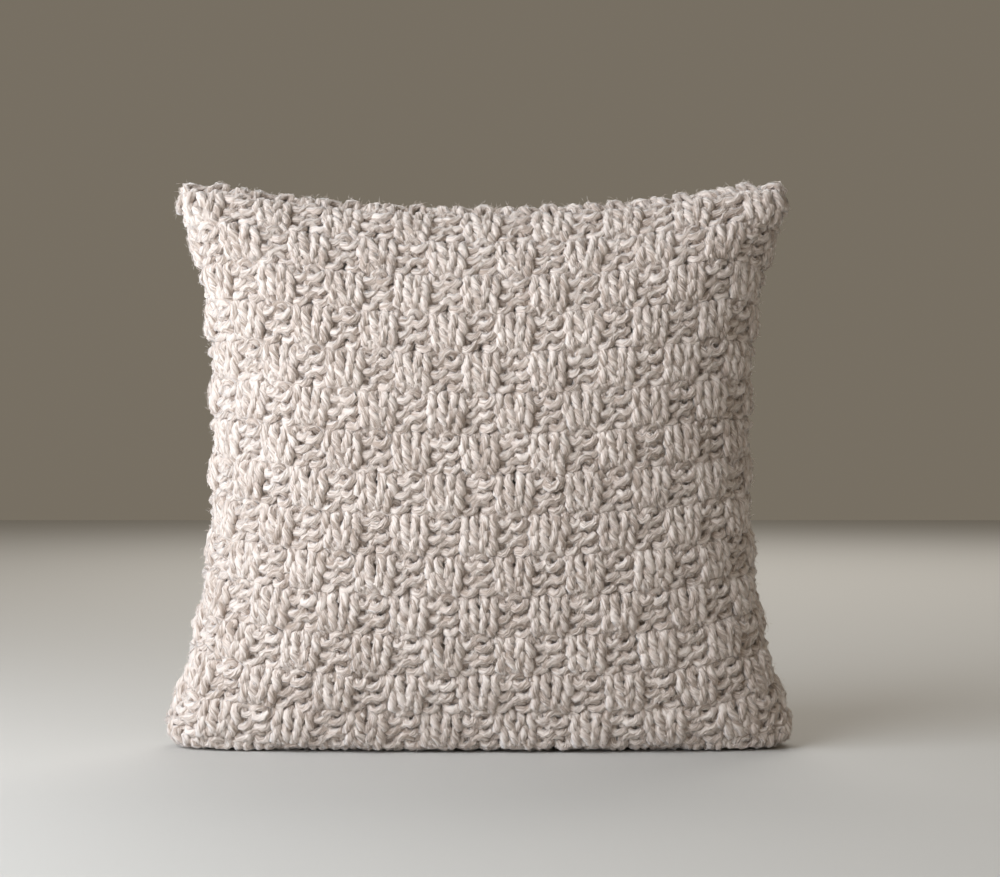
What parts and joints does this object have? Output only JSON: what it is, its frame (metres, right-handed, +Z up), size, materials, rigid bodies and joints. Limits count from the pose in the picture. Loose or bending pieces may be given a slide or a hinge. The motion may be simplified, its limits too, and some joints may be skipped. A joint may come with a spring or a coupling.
{
  "type": "throw cushion",
  "caption": "Square knitted throw cushion standing on its lower edge, with a removable fibre pad and a concealed zip in the lower seam.",
  "frame": {"origin": "middle of the base, on the surface that the cushion stands on", "axes": "+X along the width, to the right as seen from the front; +Y from front to back, so the front faces -Y; +Z up"},
  "size_m": [0.449, 0.15, 0.405],
  "materials": {
    "knit_wool": "soft heathered chunky wool, basketweave knit",
    "seam_wool": "the same yarn, used to join the panels",
    "zip_tape": "woven polyester tape in oatmeal",
    "zip_nylon": "nylon teeth",
    "zip_metal": "satin nickel",
    "sewing_thread": "polyester sewing thread",
    "pad_cotton": "plain white cotton",
    "fibre_fill": "loose hollow fibre",
    "label_satin": "blank satin ribbon"
  },
  "bodies": {
    "cushion": {"cover_front_panel": "knit_wool", "cover_back_panel": "knit_wool", "left_seam_yarn": "seam_wool", "top_seam_yarn": "seam_wool", "right_seam_yarn": "seam_wool", "zip_tape_front": "zip_tape", "zip_tape_back": "zip_tape", "zip_teeth_front": "zip_nylon", "zip_teeth_back": "zip_nylon", "zip_top_stop_front": "zip_metal", "zip_top_stop_back": "zip_metal", "zip_bottom_stop": "zip_metal", "zip_thread_front": "sewing_thread", "zip_thread_back": "sewing_thread", "pad_casing_front": "pad_cotton", "pad_casing_back": "pad_cotton", "pad_edge_thread": "sewing_thread", "pad_filling": "fibre_fill", "care_label": "label_satin"},
    "slider": {"zip_slider": "zip_metal"},
    "pull": {"zip_pull_tab": "zip_metal"}
  },
  "joints": [
    {"name": "zip_slide", "type": "slide", "parent": "cushion", "child": "slider", "axis": [1, 0, 0], "range_m": [0, 0.316]},
    {"name": "pull_hinge", "type": "hinge", "parent": "slider", "child": "pull", "pos_m": [-0.158, 0, 0.0054], "axis": [0, 1, 0], "range_deg": [0, 150]}
  ]
}
